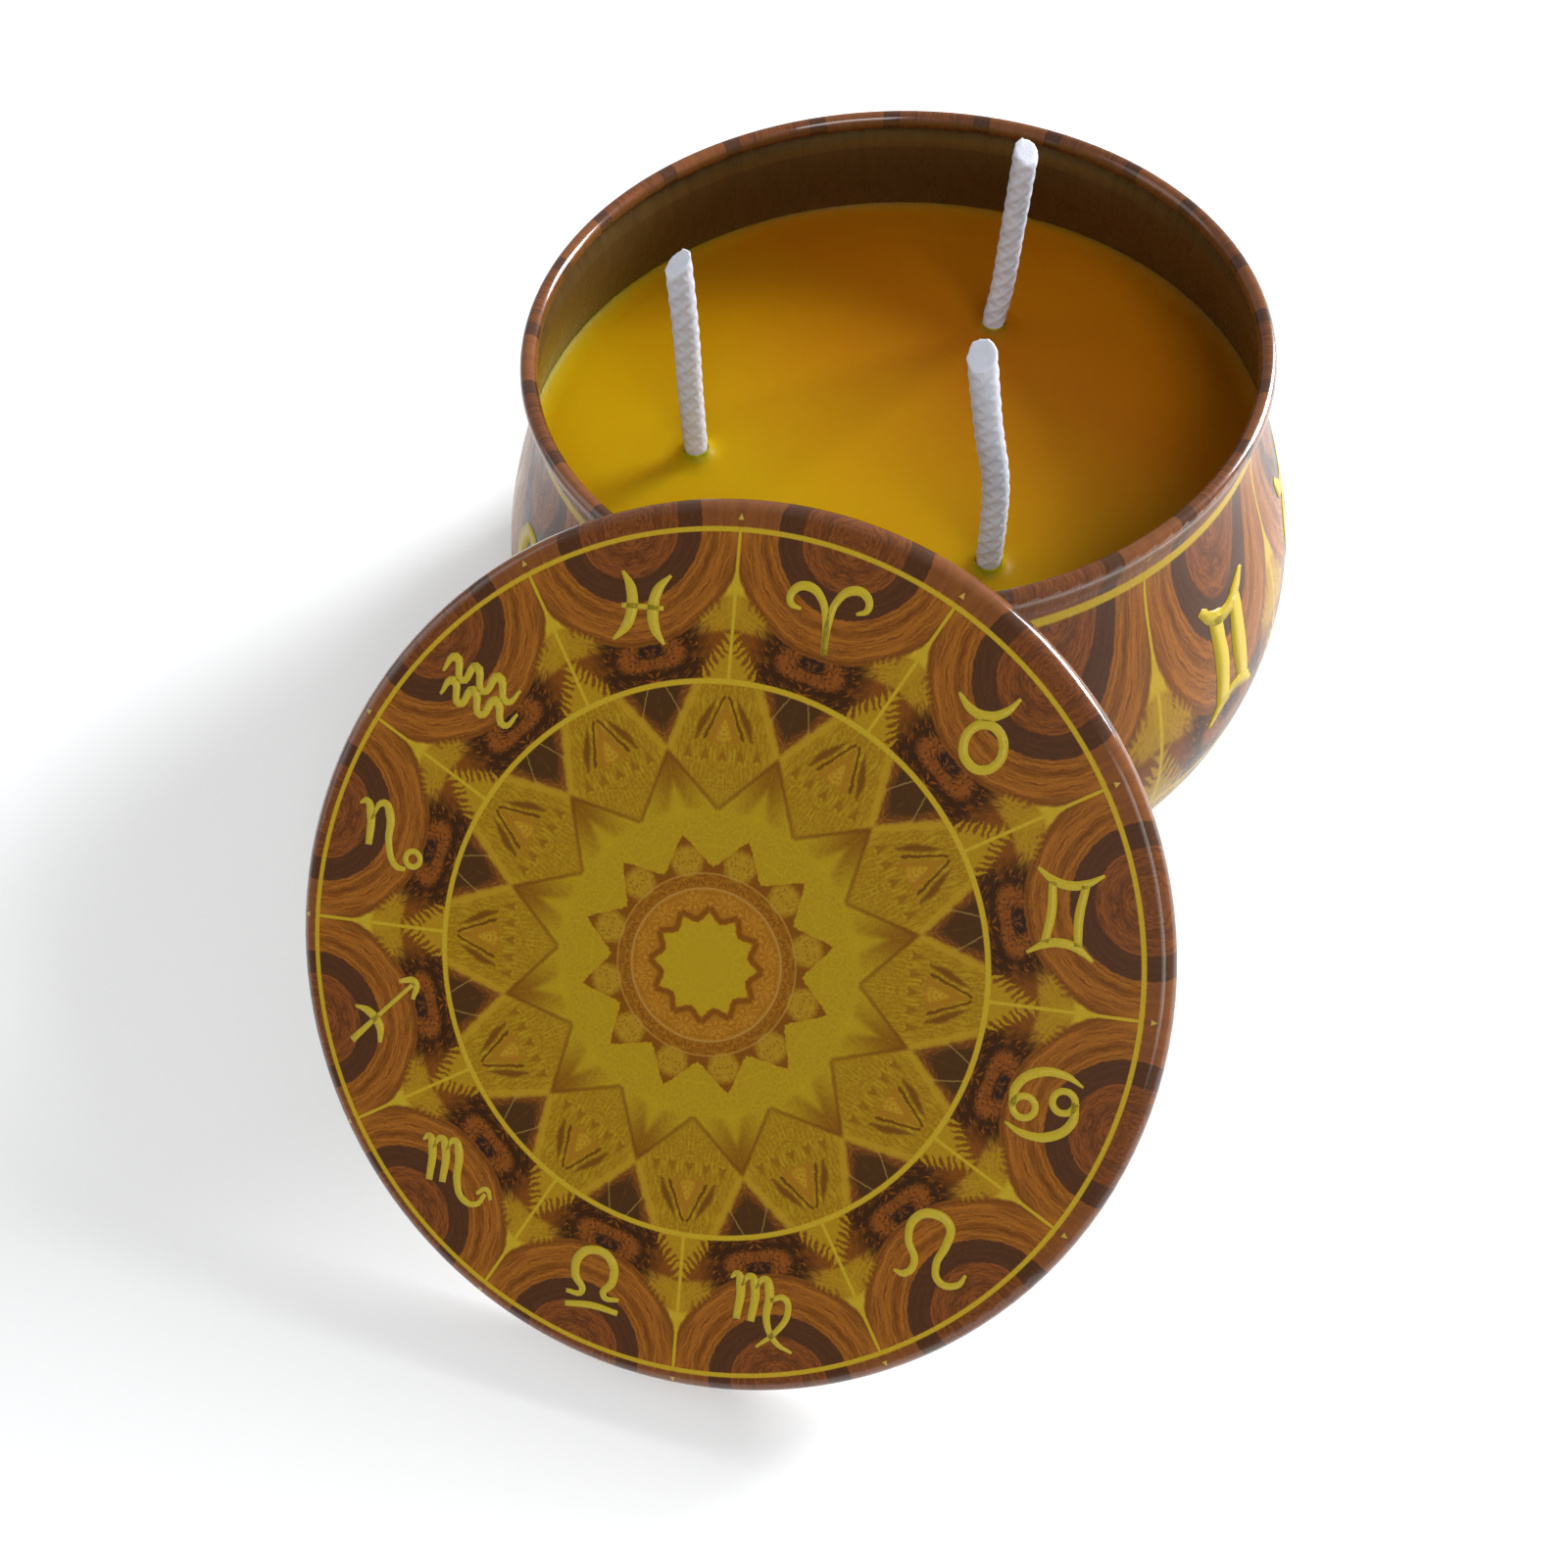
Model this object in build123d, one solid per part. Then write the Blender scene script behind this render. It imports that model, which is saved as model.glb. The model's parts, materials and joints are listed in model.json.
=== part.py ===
from build123d import *
from math import asin, cos, degrees, hypot, radians, sin
import os

# Candle tin: a bellied drawn tin with a rolled rim, poured wax with three wicks, and a slip lid
# that leans across the rim with its lower edge on the table.
# Millimetres, +Z up, origin at the centre of the tin's foot, on the table.

# ---- driving sizes -------------------------------------------------------------------------
SHEET = 0.3                 # tinplate of the body and the lid

TIN_HEIGHT = 44.8           # table to the top of the rim bead
RIM_RADIUS = 39.9           # outside of the rolled bead
BEAD_RADIUS = 0.9           # half the bead's thickness
CURL_END = 285.0            # degrees the rim's sheet rolls round, over the top and inwards
NECK_INSET = 0.6            # narrowest outside line, under the bead, in from the bead's outside
NECK_DROP = 3.3             # bead centre down to the neck
SHOULDER_OUT = 1.15         # how the shoulder leaves the neck: out ...
SHOULDER_DROP = 6.5         # ... and down
BELLY_RADIUS = 48.6         # widest outside radius
BELLY_HEIGHT = 12.7         # height of the widest line
BELLY_ROUND = 11.5          # how long the wall stays near the belly's width going up
FOOT_INSET = 5.4            # middle of the ring that the tin stands on, in from the belly's outside
FOOT_FLAT = 0.8             # width of that ring
FOOT_DROP = 6.0             # how long the wall stays near the belly's width going down
FOOT_ROUND = 3.6            # how far the foot's curve reaches out from that ring
PANEL_RISE = 1.2            # recessed bottom panel above the table
STEP_WIDTH = 2.2            # width of the step from the foot ring to that panel

LID_FIT = 0.5               # gap between the lid's rolled edge and the rim bead
LID_DEPTH = 4.5             # outside height of the lid
LID_EDGE = 1.5              # outside radius of the lid's rounded edge
LID_CURL_RADIUS = 0.75      # half the thickness of the lid's lower edge, rolled inwards
LID_CURL_END = 265.0        # degrees that edge rolls round
LID_BEYOND = 5.5            # how much of the leaning lid's width lies beyond where it meets the rim
LEAN_DIRECTION = 17.8       # which way it leans, in degrees from -Y towards -X
REST_GAP = 0.2              # between the lid's rolled edge and the bead that it lies across

FILL_DROP = 14.7            # top of the rim down to the wax
POUR_GAP = 0.02             # between the wax and whatever it was poured against
CREEP_HEIGHT = 0.9          # how far the wax has crept up the wall
CREEP_WIDTH = 2.2           # how far in from the wall that creep starts
MOUND_HEIGHT = 1.1          # little cone of wax at each wick
MOUND_WIDTH = 2.4           # how far that cone spreads from the wick

STICKER_RADIUS = 9.5
STICKER_THICK = 1.0
STICK_GAP = 0.02            # glue lines under and over the foam sticker
TAB_RADIUS = 10.0
TAB_SHEET = 0.3
COLLAR_HEIGHT = 7.0         # the wick tab's crimped tube
WICK_RADIUS = 1.45
CRIMP_GAP = 0.02            # between the wick and that tube
TIP_SLANT = 32.0            # the wicks are cut off at this angle

# Each wick: place at the wax, then its centre line above the wax as (x, y, height) steps
# from that place, and the way its slanted tip faces, in degrees from +X.
WICKS = {
    "left": ((-23.1, -1.9), [(0.4, -0.1, 7.3), (1.2, 0.0, 17.0), (1.6, 0.2, 25.3)], 200.0),
    "front": ((8.8, -21.4), [(-0.1, 0.0, 6.5), (0.2, 0.1, 12.0), (-1.4, 0.3, 18.2),
                             (-2.6, 0.3, 28.0)], 245.0),
    "back": ((13.2, 17.4), [(0.6, -0.1, 5.0), (1.2, -0.2, 12.2), (2.0, -0.5, 23.3)], 300.0),
}

# ---- places worked out from them -----------------------------------------------------------
NECK_RADIUS = RIM_RADIUS - NECK_INSET
FOOT_RADIUS = BELLY_RADIUS - FOOT_INSET
BEAD_CENTRE = RIM_RADIUS - BEAD_RADIUS
BEAD_HEIGHT = TIN_HEIGHT - BEAD_RADIUS
NECK_HEIGHT = BEAD_HEIGHT - NECK_DROP
FOOT_IN = FOOT_RADIUS - FOOT_FLAT / 2
FOOT_OUT = FOOT_RADIUS + FOOT_FLAT / 2
PANEL_RADIUS = FOOT_IN - STEP_WIDTH
PANEL_INSIDE = PANEL_RISE + SHEET
FILL_HEIGHT = TIN_HEIGHT - FILL_DROP
STICKER_BASE = PANEL_INSIDE + STICK_GAP
TAB_BASE = STICKER_BASE + STICKER_THICK + STICK_GAP
TUBE_BORE = WICK_RADIUS + CRIMP_GAP
TUBE_RADIUS = TUBE_BORE + TAB_SHEET
NECK_HANDLE = 0.2           # share of the shoulder's direction carried up into the neck
STANDING = (Align.CENTER, Align.CENTER, Align.MIN)

LID_RADIUS = RIM_RADIUS + LID_FIT + 2 * LID_CURL_RADIUS
CURL_CENTRE = LID_RADIUS - LID_CURL_RADIUS
CURL_DEPTH = LID_DEPTH - LID_CURL_RADIUS
LEAN = degrees(asin(TIN_HEIGHT / (2 * LID_RADIUS - LID_BEYOND)))


# ---- the tin's body ------------------------------------------------------------------------
def side_curves(inset):
    """Bottom panel to bead, as edges in the XZ plane, moved into the tin by inset."""
    panel = (PANEL_RADIUS, PANEL_RISE + inset)
    foot_in = (FOOT_IN, inset)
    foot = (FOOT_OUT, inset)
    belly = (BELLY_RADIUS - inset, BELLY_HEIGHT)
    neck = (NECK_RADIUS - inset, NECK_HEIGHT)
    bead = (RIM_RADIUS - inset, BEAD_HEIGHT)
    half = STEP_WIDTH / 2
    step = [panel, (panel[0] + half, panel[1]), (foot_in[0] - half, inset), foot_in]
    lower = [foot, (foot[0] + FOOT_ROUND, foot[1]), (belly[0], belly[1] - FOOT_DROP), belly]
    shoulder = [belly, (belly[0], belly[1] + BELLY_ROUND),
                (neck[0] + SHOULDER_OUT, neck[1] - SHOULDER_DROP), neck]
    collar = [neck, (neck[0] - SHOULDER_OUT * NECK_HANDLE, neck[1] + SHOULDER_DROP * NECK_HANDLE),
              (bead[0], bead[1] - NECK_DROP / 3), bead]
    curves = [upright(curve) for curve in (step, lower, shoulder, collar)]
    return curves + [line(foot_in, foot)]


def upright(points):
    """A Bezier curve through the XZ plane from (radius, height) points."""
    return Edge.make_bezier(*[Vector(r, 0, z) for r, z in points])


def line(start, end):
    return Edge.make_line(Vector(start[0], 0, start[1]), Vector(end[0], 0, end[1]))


def arc(centre, radius, start, end):
    """An arc in the XZ plane; angles in degrees from +X towards +Z."""
    angles = (start, (start + end) / 2, end)
    points = [polar(centre, radius, angle) for angle in angles]
    return Edge.make_three_point_arc(*[Vector(r, 0, z) for r, z in points])


def polar(centre, radius, angle):
    return (centre[0] + radius * cos(radians(angle)), centre[1] + radius * sin(radians(angle)))


def turned(edges):
    """The solid swept by a closed outline in the XZ plane as it turns about Z."""
    return revolve(Face(Wire(edges)), Axis.Z, 360)


def tin_body():
    bead = (BEAD_CENTRE, BEAD_HEIGHT)
    inner = BEAD_RADIUS - SHEET
    edges = side_curves(0) + side_curves(SHEET)
    edges += [
        arc(bead, BEAD_RADIUS, 0, CURL_END),
        arc(bead, inner, 0, CURL_END),
        line(polar(bead, BEAD_RADIUS, CURL_END), polar(bead, inner, CURL_END)),
        line((0, PANEL_RISE), (PANEL_RADIUS, PANEL_RISE)),
        line((0, PANEL_INSIDE), (PANEL_RADIUS, PANEL_INSIDE)),
        line((0, PANEL_RISE), (0, PANEL_INSIDE)),
    ]
    return turned(edges)


# ---- the lid -------------------------------------------------------------------------------
def lid_at_origin():
    """The lid lying face up, with the middle of its face at the origin."""
    flat = LID_RADIUS - LID_EDGE
    inner_edge = LID_EDGE - SHEET
    corner = (flat, -LID_EDGE)
    curl = (CURL_CENTRE, -CURL_DEPTH)
    inner = LID_CURL_RADIUS - SHEET
    wall_in = LID_RADIUS - SHEET
    edges = [
        line((0, 0), (flat, 0)),
        arc(corner, LID_EDGE, 90, 0),
        line((LID_RADIUS, -LID_EDGE), (LID_RADIUS, -CURL_DEPTH)),
        arc(curl, LID_CURL_RADIUS, 0, -LID_CURL_END),
        line(polar(curl, LID_CURL_RADIUS, -LID_CURL_END), polar(curl, inner, -LID_CURL_END)),
        arc(curl, inner, -LID_CURL_END, 0),
        line((wall_in, -CURL_DEPTH), (wall_in, -LID_EDGE)),
        arc(corner, inner_edge, 0, 90),
        line((flat, -SHEET), (0, -SHEET)),
        line((0, -SHEET), (0, 0)),
    ]
    return turned(edges)


def edge_clearance(reach, height):
    """Least gap between the lid's rolled edge and the rim bead, with the lid's face centre at
    this reach from the tin's axis and at this height."""
    slope = radians(LEAN)
    gaps = []
    for step in range(1801):
        turn = radians(step / 10)
        up = CURL_CENTRE * cos(turn)
        out = reach - up * cos(slope) - CURL_DEPTH * sin(slope)
        side = CURL_CENTRE * sin(turn)
        level = height + up * sin(slope) - CURL_DEPTH * cos(slope)
        gaps.append(hypot(hypot(out, side) - BEAD_CENTRE, level - BEAD_HEIGHT))
    return min(gaps) - LID_CURL_RADIUS - BEAD_RADIUS


def lid_place():
    """Where the lid rests: its lowest edge on the table, its rolled edge just over the bead."""
    slope = radians(LEAN)
    height = CURL_CENTRE * sin(slope) + CURL_DEPTH * cos(slope) + LID_CURL_RADIUS
    near = BEAD_CENTRE
    far = BEAD_CENTRE + 2 * LID_RADIUS
    while far - near > 0.001:
        reach = (near + far) / 2
        too_close = edge_clearance(reach, height) < REST_GAP or in_front(reach, height) < REST_GAP
        near, far = (reach, far) if too_close else (near, reach)
    turn = radians(LEAN_DIRECTION)
    centre = (-far * sin(turn), -far * cos(turn), height)
    return Location(centre) * Location((0, 0, 0), (0, 0, -LEAN_DIRECTION)) * Location(
        (0, 0, 0), (LEAN, 0, 0))


def in_front(reach, height):
    """How far the lid's inside face stands off the bead where it passes straight over it."""
    slope = radians(LEAN)
    offset = sin(slope) * (reach - BEAD_CENTRE) - cos(slope) * (BEAD_HEIGHT - height)
    return offset - SHEET - BEAD_RADIUS


# ---- wicks, tabs and stickers --------------------------------------------------------------
def wick_line(place, steps):
    """The wick's centre line, straight up through the tab and the wax, then as it leans."""
    x, y = place
    foot = Vector(x, y, TAB_BASE)
    points = [Vector(x, y, FILL_HEIGHT + MOUND_HEIGHT)]
    points += [Vector(x + dx, y + dy, FILL_HEIGHT + dz) for dx, dy, dz in steps]
    above = Edge.make_spline(points, tangents=[Vector(0, 0, 1), points[-1] - points[-2]])
    return Wire([Edge.make_line(foot, points[0]), above])


def wick(place, steps, faces):
    """The wick as a round bar, with its tip cut off at a slant."""
    path = wick_line(place, steps)
    section = Plane(origin=path @ 0, z_dir=Vector(0, 0, 1)) * Circle(WICK_RADIUS)
    bar = sweep(section, path=path)
    tip = path @ 1
    slant = radians(TIP_SLANT)
    turn = radians(faces)
    facing = Vector(sin(slant) * cos(turn), sin(slant) * sin(turn), cos(slant))
    below_tip = tip - Vector(0, 0, WICK_RADIUS)
    return split(bar, bisect_by=Plane(origin=below_tip, z_dir=facing), keep=Keep.BOTTOM)


def wick_tab(place):
    at = Location((place[0], place[1], TAB_BASE))
    disc = Cylinder(TAB_RADIUS, TAB_SHEET, align=STANDING)
    tube = Cylinder(TUBE_RADIUS, COLLAR_HEIGHT, align=STANDING)
    bore = Cylinder(TUBE_BORE, COLLAR_HEIGHT, align=STANDING)
    return at * (disc + tube - bore)


def wick_sticker(place):
    at = Location((place[0], place[1], STICKER_BASE))
    return at * Cylinder(STICKER_RADIUS, STICKER_THICK, align=STANDING)


# ---- the wax -------------------------------------------------------------------------------
def wax_blank():
    """The wax as poured, before the wicks and tabs are taken out of it."""
    skin = SHEET + POUR_GAP
    floor = PANEL_RISE + skin
    inside = side_curves(skin) + [line((0, floor), (PANEL_RADIUS, floor)),
                                  line((RIM_RADIUS - skin, BEAD_HEIGHT), (0, BEAD_HEIGHT)),
                                  line((0, BEAD_HEIGHT), (0, floor))]
    crept = FILL_HEIGHT + CREEP_HEIGHT
    wall = wall_radius(crept) - skin
    hollow_foot = (wall - CREEP_WIDTH, FILL_HEIGHT)
    lip = (wall, crept)
    outside = BELLY_RADIUS + CREEP_WIDTH
    above = [line((0, FILL_HEIGHT), hollow_foot),
             upright([hollow_foot, (wall - CREEP_WIDTH / 3, FILL_HEIGHT), lip]),
             line(lip, (outside, crept)),
             line((outside, crept), (outside, TIN_HEIGHT)),
             line((outside, TIN_HEIGHT), (0, TIN_HEIGHT)),
             line((0, TIN_HEIGHT), (0, FILL_HEIGHT))]
    return turned(inside) - turned(above)


def wall_radius(height):
    """Outside radius of the body's shoulder at this height."""
    shoulder = side_curves(0)[2]
    low, high = 0.0, 1.0
    while high - low > 0.0001:
        middle = (low + high) / 2
        low, high = (middle, high) if (shoulder @ middle).Z < height else (low, middle)
    return (shoulder @ low).X


def wick_mound(place):
    """The small hollow-sided cone that the wax draws up at a wick."""
    base = WICK_RADIUS + MOUND_WIDTH
    root = FILL_HEIGHT - MOUND_HEIGHT
    top = FILL_HEIGHT + MOUND_HEIGHT
    side = upright([(base, FILL_HEIGHT), (WICK_RADIUS + MOUND_WIDTH / 4, FILL_HEIGHT),
                    (WICK_RADIUS, top)])
    cone = turned([side, line((WICK_RADIUS, top), (0, top)), line((0, top), (0, root)),
                   line((0, root), (base, root)), line((base, root), (base, FILL_HEIGHT))])
    return Location((place[0], place[1], 0)) * cone


def wick_pocket(place):
    """The room that a wick, its tab and its sticker take up in the wax."""
    foot = PANEL_RISE
    levels = {TAB_RADIUS: TAB_BASE + TAB_SHEET + POUR_GAP,
              TUBE_RADIUS: TAB_BASE + COLLAR_HEIGHT + POUR_GAP,
              WICK_RADIUS: TIN_HEIGHT}
    room = [Cylinder(radius + POUR_GAP, top - foot, align=STANDING)
            for radius, top in levels.items()]
    return Location((place[0], place[1], foot)) * (room[0] + room[1] + room[2])


def wax_fill():
    wax = wax_blank()
    for place, steps, faces in WICKS.values():
        wax = wax + wick_mound(place)
    for place, steps, faces in WICKS.values():
        wax = wax - wick_pocket(place)
    return wax


# ---- every node ----------------------------------------------------------------------------
def nodes():
    parts = {"tin_body": tin_body(), "wax_fill": wax_fill(), "lid": lid_place() * lid_at_origin()}
    for name, (place, steps, faces) in WICKS.items():
        parts[f"wick_{name}"] = wick(place, steps, faces)
        parts[f"wick_tab_{name}"] = wick_tab(place)
        parts[f"wick_sticker_{name}"] = wick_sticker(place)
    return parts


os.makedirs("parts", exist_ok=True)
for node, shape in nodes().items():
    export_step(shape, f"parts/{node}.step")
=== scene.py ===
import json
from math import acos, atan2, cos, pi, radians, sin

import bpy
from mathutils import Euler, Matrix, Vector


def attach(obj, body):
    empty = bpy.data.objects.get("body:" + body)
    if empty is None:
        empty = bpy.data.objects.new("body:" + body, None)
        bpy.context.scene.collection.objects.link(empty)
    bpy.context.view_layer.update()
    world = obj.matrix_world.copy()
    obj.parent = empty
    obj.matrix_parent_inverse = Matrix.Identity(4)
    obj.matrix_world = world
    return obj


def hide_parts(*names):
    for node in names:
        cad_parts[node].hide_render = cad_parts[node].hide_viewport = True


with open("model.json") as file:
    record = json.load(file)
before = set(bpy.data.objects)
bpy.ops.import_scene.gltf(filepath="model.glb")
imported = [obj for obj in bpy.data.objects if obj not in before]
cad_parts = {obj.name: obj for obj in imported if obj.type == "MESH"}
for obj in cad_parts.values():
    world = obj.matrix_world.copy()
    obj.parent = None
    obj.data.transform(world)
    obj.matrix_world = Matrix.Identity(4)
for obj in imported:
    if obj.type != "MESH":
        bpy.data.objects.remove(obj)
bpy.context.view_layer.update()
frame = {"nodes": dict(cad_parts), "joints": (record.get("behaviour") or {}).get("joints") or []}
bpy.ops.object.select_all(action="DESELECT")
MM = 0.001

# ---- table, light and view -----------------------------------------------------------------
# A plain pale board painted matt white, wide enough to fill the view, under one large soft
# window light from the right and behind and two weak fills. Only a stage, not the object.
BOARD_WHITE = "F4F4F3"
BOARD_SIZE = 2.4
PAINT_GRAIN = 0.6 * MM


def colour(code):
    """Linear colour of an sRGB hex code."""
    parts = [int(code[i:i + 2], 16) / 255 for i in (0, 2, 4)]
    return tuple(p / 12.92 if p <= 0.04045 else ((p + 0.055) / 1.055) ** 2.4 for p in parts) + (1.0,)


def add(tree, kind, sockets=(), out=0, **settings):
    """Adds a node with its settings, fills or links its sockets, and gives back one output."""
    node = tree.nodes.new(kind if kind.startswith("Node") else "ShaderNode" + kind)
    for name, value in settings.items():
        setattr(node, name, value)
    filled = sockets.items() if isinstance(sockets, dict) else enumerate(sockets)
    for key, value in filled:
        if isinstance(value, bpy.types.NodeSocket):
            tree.links.new(value, node.inputs[key])
        elif value is not None:
            node.inputs[key].default_value = value
    return node.outputs[out] if len(node.outputs) else node


def new_finish(name):
    """An empty node material; gives back the material and its tree."""
    finish = bpy.data.materials.new(name)
    finish.use_nodes = True
    finish.node_tree.nodes.clear()
    return finish, finish.node_tree


def close_finish(tree, sockets):
    """Adds the surface shader with these sockets and joins it to the output."""
    add(tree, "OutputMaterial", [add(tree, "BsdfPrincipled", sockets)])


# Matt emulsion on board: no shine, a faint roller texture.
board_paint, tree = new_finish("matt_white_board_paint")
place = add(tree, "TexCoord", out=3)
roller = add(tree, "TexNoise", {"Vector": place, "Scale": 1 / PAINT_GRAIN, "Detail": 2.0})
close_finish(tree, {
    "Base Color": colour(BOARD_WHITE), "Roughness": 0.85,
    "Normal": add(tree, "Bump", {"Height": roller, "Strength": 0.05, "Distance": 0.00005})})

bpy.ops.mesh.primitive_plane_add(size=BOARD_SIZE, location=(0, 0, 0))
board = bpy.context.active_object
board.name = "table_board"
board.data.materials.append(board_paint)


def soft_light(name, place, aim, size, power, tint):
    """A large soft square light at place, turned to face aim."""
    bpy.ops.object.light_add(type="AREA", location=place)
    lamp = bpy.context.active_object
    lamp.name = name
    lamp.rotation_euler = (Vector(aim) - Vector(place)).to_track_quat("-Z", "Y").to_euler()
    lamp.data.size = size
    lamp.data.energy = power
    lamp.data.color = tint
    return lamp


soft_light("window_light", (0.62, 0.36, 0.33), (0, -0.02, 0.03), 0.30, 13.0, (0.95, 0.97, 1.0))
soft_light("left_fill", (-0.70, 0.10, 0.42), (0, 0, 0.02), 0.5, 1.2, (0.95, 0.97, 1.0))
soft_light("front_fill", (0.18, -0.75, 0.85), (0, -0.04, 0.02), 0.5, 6.5, (1.0, 0.99, 0.97))

world = bpy.data.worlds.new("studio_room")
bpy.context.scene.world = world
world.use_nodes = True
world.node_tree.nodes["Background"].inputs["Color"].default_value = colour("F2F4F8")
world.node_tree.nodes["Background"].inputs["Strength"].default_value = 0.42
bpy.context.scene.view_settings.view_transform = "Standard"

CAMERA_PLACE = Vector((-6.708, -109.801, 126.538)) * MM
CAMERA_RIGHT = Vector((0.99871, -0.04438, -0.02454))
CAMERA_UP = Vector((0.05072, 0.87399, 0.48330))
LENS = 27.0                                     # millimetres, on a 36 mm frame
SHIFT = (-0.0479, 0.0465)

camera_data = bpy.data.cameras.new("camera")
camera = bpy.data.objects.new("camera", camera_data)
bpy.context.scene.collection.objects.link(camera)
back = CAMERA_RIGHT.cross(CAMERA_UP)
camera.matrix_world = Matrix.Translation(CAMERA_PLACE) @ Matrix((
    CAMERA_RIGHT, CAMERA_UP, back)).transposed().to_4x4()
camera_data.sensor_width = 36.0
camera_data.lens = LENS
camera_data.shift_x, camera_data.shift_y = SHIFT
camera_data.clip_start = 0.005
camera_data.dof.use_dof = False
bpy.context.scene.camera = camera

# ---- printed sheet -------------------------------------------------------------------------
# The artwork that both tin and lid carry: tinplate is printed flat in yellow, orange-brown and
# dark brown ink, varnished, and pressed to shape. A rosette of twelve equal mirrored wedges.
SPOKES = 12
INK_YELLOW = "9C8017"
INK_GOLD = "997716"
INK_LINE = "A98C22"
BORDER_ORANGE = "744425"
INNER_CIRCLE, OUTER_CIRCLE = 26.0, 39.45      # the yellow circles, in millimetres like all artwork
BEFORE, BEYOND = -1.0, 99.0                   # short of every line, and past all of them

rosette = bpy.data.node_groups.new("printed_rosette", "ShaderNodeTree")
rosette.interface.new_socket("Radius", in_out="INPUT", socket_type="NodeSocketFloat")
rosette.interface.new_socket("Angle", in_out="INPUT", socket_type="NodeSocketFloat")
rosette.interface.new_socket("Color", in_out="OUTPUT", socket_type="NodeSocketColor")
radius = add(rosette, "NodeGroupInput", out=0)
angle = add(rosette, "NodeGroupInput", out=1)
# One wedge: u runs out along a spoke, v across it to the line midway between two spokes.
fold = add(rosette, "Math", [angle, pi / SPOKES], operation="PINGPONG")
u_true = add(rosette, "Math", [radius, add(rosette, "Math", [fold], operation="COSINE")],
             operation="MULTIPLY")
v_true = add(rosette, "Math", [radius, add(rosette, "Math", [fold], operation="SINE")],
             operation="MULTIPLY")
flat = add(rosette, "CombineXYZ", [u_true, v_true, 0.0])
# Hand-etched edges: the outline wanders by a few tenths of a millimetre.
wander = add(rosette, "TexNoise", {"Vector": flat, "Scale": 1.6, "Detail": 3.0}, out=1)
wander = add(rosette, "VectorMath", [wander, (0.5, 0.5, 0.5)], operation="SUBTRACT")
wander = add(rosette, "VectorMath", {0: wander, 3: 0.42}, operation="SCALE")
etched = add(rosette, "VectorMath", [flat, wander], operation="ADD")
u = add(rosette, "SeparateXYZ", [etched], out=0)
v = add(rosette, "SeparateXYZ", [etched], out=1)
spot = add(rosette, "CombineXYZ", [u, v, 1.0])
grit = add(rosette, "TexNoise", {"Vector": flat, "Scale": 3.2, "Detail": 4.0, "Roughness": 0.65})
cloud = add(rosette, "TexNoise", {"Vector": flat, "Scale": 0.55, "Detail": 3.0})


def patch(points, soft, at=spot):
    """Mask of a convex patch with these (u, v) corners; soft is the width of its edge."""
    middle = Vector((sum(p[0] for p in points), sum(p[1] for p in points))) / len(points)
    deepest = None
    for (u0, v0), (u1, v1) in zip(points, points[1:] + points[:1]):
        out = Vector((v1 - v0, u0 - u1)).normalized()
        if out.dot(middle - Vector((u0, v0))) > 0:
            out = -out
        side = (out.x, out.y, -out.dot(Vector((u0, v0))))
        depth = add(rosette, "VectorMath", [at, side], out=1, operation="DOT_PRODUCT")
        deepest = depth if deepest is None else add(
            rosette, "Math", [deepest, depth], operation="MAXIMUM")
    return add(rosette, "MapRange", [deepest, -soft / 2, soft / 2, 1.0, 0.0],
               interpolation_type="SMOOTHSTEP")


def stroke(start, end, wide, soft):
    """Mask of a straight pen stroke."""
    along = (Vector(end) - Vector(start)).normalized()
    across = Vector((-along.y, along.x)) * wide / 2
    a, b = Vector(start), Vector(end)
    return patch([tuple(a + across), tuple(b + across), tuple(b - across), tuple(a - across)], soft)


def between(value, low, high, soft):
    """Mask that is 1 where value lies from low to high."""
    rise = add(rosette, "MapRange", [value, low - soft / 2, low + soft / 2, 0.0, 1.0],
               interpolation_type="SMOOTHSTEP")
    fall = add(rosette, "MapRange", [value, high - soft / 2, high + soft / 2, 1.0, 0.0],
               interpolation_type="SMOOTHSTEP")
    return add(rosette, "Math", [rise, fall], operation="MULTIPLY")


def mottled(noise, low, high, dark, light):
    """Two inks mixed by a noise: all dark below low, all light above high."""
    fade = add(rosette, "MapRange", [noise, low, high, 0.0, 1.0], interpolation_type="SMOOTHSTEP")
    return add(rosette, "Mix", {0: fade, 6: colour(dark), 7: colour(light)}, out=2, data_type="RGBA")


def inked(under, masks, ink, strength=1.0, grain=None):
    """Lays ink, a hex code or a drawn colour, over what is there where all the masks meet.

    grain is a noise with the two values between which it comes to let the ink through."""
    mask = masks[0]
    for other in masks[1:]:
        mask = add(rosette, "Math", [mask, other], operation="MULTIPLY")
    if grain:
        through = add(rosette, "MapRange", [*grain, 0.0, 1.0], interpolation_type="SMOOTHSTEP")
        mask = add(rosette, "Math", [mask, through], operation="MULTIPLY")
    if strength < 1.0:
        mask = add(rosette, "Math", [mask, strength], operation="MULTIPLY")
    laid = colour(ink) if isinstance(ink, str) else ink
    return add(rosette, "Mix", {0: mask, 6: under, 7: laid}, out=2, data_type="RGBA")


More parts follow.
